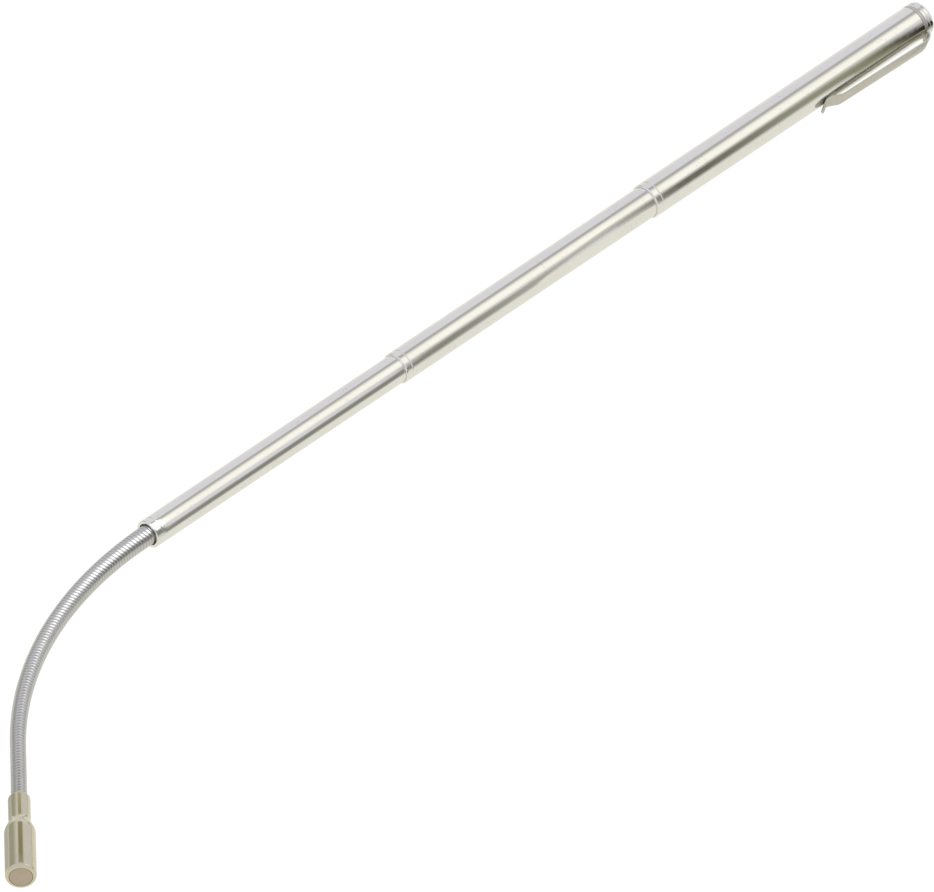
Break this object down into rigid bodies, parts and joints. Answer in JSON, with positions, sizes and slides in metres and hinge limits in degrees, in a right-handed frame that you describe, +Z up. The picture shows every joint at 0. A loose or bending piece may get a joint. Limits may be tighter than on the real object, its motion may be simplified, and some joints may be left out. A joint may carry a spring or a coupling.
{
  "type": "magnetic pickup tool",
  "caption": "Telescopic pickup tool: sliding bright tubes with a pocket clip carry a bendable coil neck that ends in a round magnet head.",
  "frame": {"origin": "centre of the footprint of the tool as it lies, at its lowest point", "axes": "+X along the tubes towards the butt end, +Z up, the neck curves towards -Y in the horizontal plane"},
  "size_m": [0.4726, 0.0898, 0.011],
  "materials": {
    "chrome": "polished",
    "nickel": "warm nickel plating, semi-bright",
    "spring_steel": "plated spring steel",
    "coil_steel": "bright drawn wire",
    "core_wire": "dull soft wire",
    "mild_steel": "turned",
    "brass": "turned",
    "magnet_plating": "nickel plating, lightly worn"
  },
  "bodies": {
    "barrel": {"barrel_tube": "chrome", "end_cap": "chrome", "clip_band": "spring_steel"},
    "clip": {"pocket_clip": "spring_steel"},
    "middle_grip": {"middle_friction_ring": "brass"},
    "middle": {"middle_tube": "chrome", "middle_tail_bush": "brass"},
    "inner_grip": {"inner_friction_ring": "brass"},
    "inner": {"inner_tube": "chrome", "inner_tail_bush": "brass", "neck_anchor": "brass", "neck_spring_root": "coil_steel", "neck_core_root": "core_wire"},
    "neck_1": {"neck_spring_1": "coil_steel", "neck_core_1": "core_wire"},
    "neck_2": {"neck_spring_2": "coil_steel", "neck_core_2": "core_wire"},
    "neck_3": {"neck_spring_3": "coil_steel", "neck_core_3": "core_wire"},
    "neck_4": {"neck_spring_4": "coil_steel", "neck_core_4": "core_wire"},
    "neck_5": {"neck_spring_5": "coil_steel", "neck_core_5": "core_wire"},
    "neck_6": {"neck_spring_6": "coil_steel", "neck_core_6": "core_wire"},
    "neck_7": {"neck_spring_7": "coil_steel", "neck_core_7": "core_wire"},
    "neck_8": {"neck_spring_8": "coil_steel", "neck_core_8": "core_wire", "head_shell": "nickel", "magnet": "magnet_plating", "magnet_sleeve": "brass", "magnet_backing": "mild_steel"}
  },
  "joints": [
    {"name": "clip_flex", "type": "hinge", "parent": "barrel", "child": "clip", "pos_m": [0.23272, 0.03365, 0.00341], "axis": [0, -0.342, 0.9397], "range_deg": [0, 4], "stiffness_Nm_per_rad": 2},
    {"name": "middle_tube_slide", "type": "slide", "parent": "barrel", "child": "middle_grip", "axis": [1, 0, 0], "range_m": [0, 0.093]},
    {"name": "middle_tube_swivel", "type": "hinge", "parent": "middle_grip", "child": "middle", "pos_m": [0.12662, 0.03938, 0.0055], "axis": [1, 0, 0], "continuous": true},
    {"name": "inner_tube_slide", "type": "slide", "parent": "middle", "child": "inner_grip", "axis": [1, 0, 0], "range_m": [0, 0.097]},
    {"name": "inner_tube_swivel", "type": "hinge", "parent": "inner_grip", "child": "inner", "pos_m": [0.01922, 0.03938, 0.0055], "axis": [1, 0, 0], "continuous": true},
    {"name": "neck_bend_1", "type": "hinge", "parent": "inner", "child": "neck_1", "pos_m": [-0.09808, 0.03938, 0.0055], "axis": [0, 0, 1], "range_deg": [-3.24, 4.5]},
    {"name": "neck_bend_2", "type": "hinge", "parent": "neck_1", "child": "neck_2", "pos_m": [-0.11295, 0.03854, 0.0055], "axis": [0, 0, 1], "range_deg": [-6.48, 9]},
    {"name": "neck_bend_3", "type": "hinge", "parent": "neck_2", "child": "neck_3", "pos_m": [-0.12763, 0.03602, 0.0055], "axis": [0, 0, 1], "range_deg": [-6.48, 9]},
    {"name": "neck_bend_4", "type": "hinge", "parent": "neck_3", "child": "neck_4", "pos_m": [-0.14193, 0.03186, 0.0055], "axis": [0, 0, 1], "range_deg": [-6.48, 9]},
    {"name": "neck_bend_5", "type": "hinge", "parent": "neck_4", "child": "neck_5", "pos_m": [-0.15566, 0.02612, 0.0055], "axis": [0, 0, 1], "range_deg": [-6.48, 9]},
    {"name": "neck_bend_6", "type": "hinge", "parent": "neck_5", "child": "neck_6", "pos_m": [-0.16867, 0.01885, 0.0055], "axis": [0, 0, 1], "range_deg": [-6.48, 9]},
    {"name": "neck_bend_7", "type": "hinge", "parent": "neck_6", "child": "neck_7", "pos_m": [-0.18076, 0.01017, 0.0055], "axis": [0, 0, 1], "range_deg": [-6.48, 9]},
    {"name": "neck_bend_8", "type": "hinge", "parent": "neck_7", "child": "neck_8", "pos_m": [-0.1918, 0.00017, 0.0055], "axis": [0, 0, 1], "range_deg": [-3.24, 4.5]}
  ],
  "couplings": [
    {"joint": "neck_bend_1", "follows": "neck_bend_2", "ratio": 0.5},
    {"joint": "neck_bend_3", "follows": "neck_bend_2", "ratio": 1},
    {"joint": "neck_bend_4", "follows": "neck_bend_2", "ratio": 1},
    {"joint": "neck_bend_5", "follows": "neck_bend_2", "ratio": 1},
    {"joint": "neck_bend_6", "follows": "neck_bend_2", "ratio": 1},
    {"joint": "neck_bend_7", "follows": "neck_bend_2", "ratio": 1},
    {"joint": "neck_bend_8", "follows": "neck_bend_2", "ratio": 0.5}
  ]
}
